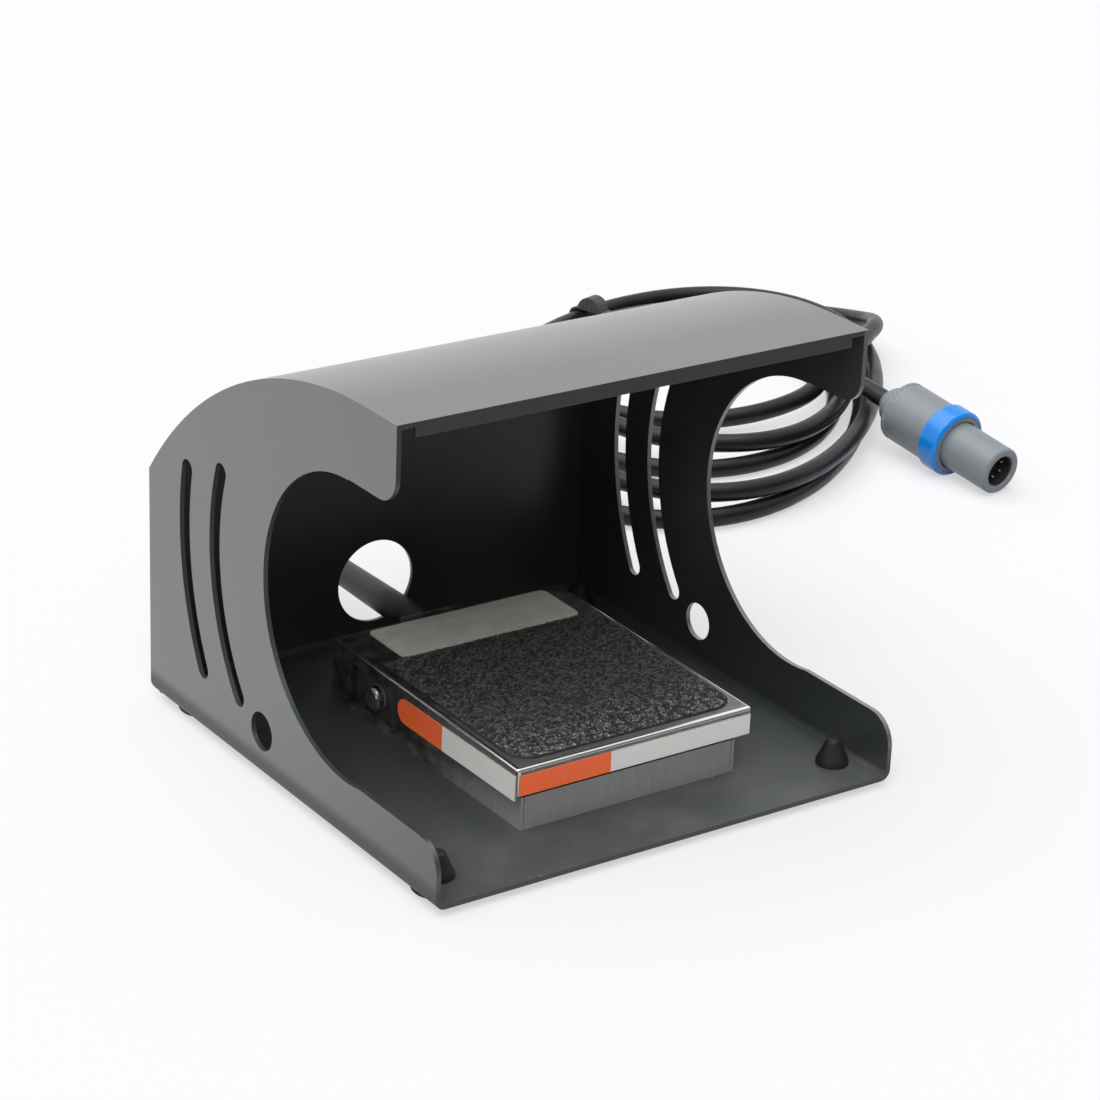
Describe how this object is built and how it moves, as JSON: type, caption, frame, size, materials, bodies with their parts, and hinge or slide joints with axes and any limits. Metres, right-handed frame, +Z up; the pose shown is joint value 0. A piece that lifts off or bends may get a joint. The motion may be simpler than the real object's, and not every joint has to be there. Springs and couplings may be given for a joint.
{
  "type": "guarded foot pedal switch",
  "caption": "Hooded foot pedal with a sprung treadle over a snap-action switch, a coiled control cord and a round push-pull plug.",
  "frame": {"origin": "bottom centre of the guard's box, on the surface that the rubber feet stand on", "axes": "+X to the right seen from the open front, +Y to the back wall where the cord leaves, +Z up"},
  "size_m": [0.4042, 0.3742, 0.1361],
  "materials": {
    "guard": "satin powder coat, dark grey, worn to a brown-grey at the cut edges",
    "black_rubber": "matte",
    "boot_rubber": "satin moulded",
    "cord_jacket": "smooth satin",
    "stainless": "brushed",
    "zinc_steel": "bright zinc",
    "spring_steel": "drawn wire",
    "grit": "coarse grit",
    "plate": "printed film, bare",
    "strip_film": "printed film in white and orange, bare",
    "nylon": "natural nylon",
    "black_plastic": "moulded",
    "red_plastic": "moulded",
    "brass": "bright",
    "gold_pins": "polished gold plate",
    "wire_film": "thin insulation",
    "tie_fabric": "woven",
    "plug_grey": "moulded, fine satin",
    "plug_blue": "moulded"
  },
  "bodies": {
    "guard": {"guard_base": "guard", "guard_hood": "guard", "rubber_feet": "black_rubber", "tray_screws": "zinc_steel", "tray_nuts": "zinc_steel", "switch_tray": "stainless", "pivot_screws": "zinc_steel", "pivot_nuts": "zinc_steel", "return_spring": "spring_steel", "spring_seat": "nylon", "switch_body": "black_plastic", "switch_terminals": "brass", "switch_bracket": "zinc_steel", "switch_screws": "zinc_steel", "switch_nuts": "zinc_steel", "inner_cord": "cord_jacket", "switch_wires": "wire_film", "cable_clip": "black_plastic", "clip_screw": "zinc_steel", "strain_relief": "boot_rubber", "cord_lead": "cord_jacket", "cord_coil": "cord_jacket", "cord_tail": "cord_jacket", "cord_tie": "tie_fabric", "plug_back_nut": "plug_grey", "plug_body": "plug_grey", "plug_insert": "black_plastic", "plug_pins": "gold_pins"},
    "treadle_plate": {"treadle": "stainless", "tread_pad": "grit", "name_plate": "plate", "side_strip": "strip_film", "front_strip": "strip_film", "pivot_bushes": "nylon", "push_stud": "zinc_steel", "stud_nut": "zinc_steel"},
    "plunger": {"switch_plunger": "red_plastic"},
    "latch_sleeve": {"plug_sleeve": "plug_grey", "plug_ring": "plug_blue"}
  },
  "joints": [
    {"name": "treadle_tilt", "type": "hinge", "parent": "guard", "child": "treadle_plate", "pos_m": [0.0028, 0.01855, 0.016], "axis": [1, 0, 0], "range_deg": [0, 2.6], "stiffness_Nm_per_rad": 6, "springref_deg": -1.15, "deforming": ["return_spring"]},
    {"name": "plunger_press", "type": "slide", "parent": "guard", "child": "plunger", "axis": [0, 0, -1], "range_m": [0, 0.0012], "stiffness_N_per_m": 5},
    {"name": "latch_pull", "type": "slide", "parent": "guard", "child": "latch_sleeve", "axis": [-0.0896, 0.9849, 0.1478], "range_m": [0, 0.002], "stiffness_N_per_m": 1500, "springref_m": -0.001}
  ],
  "couplings": [
    {"joint": "plunger_press", "follows": "treadle_tilt", "m_per_rad": 0.025}
  ]
}
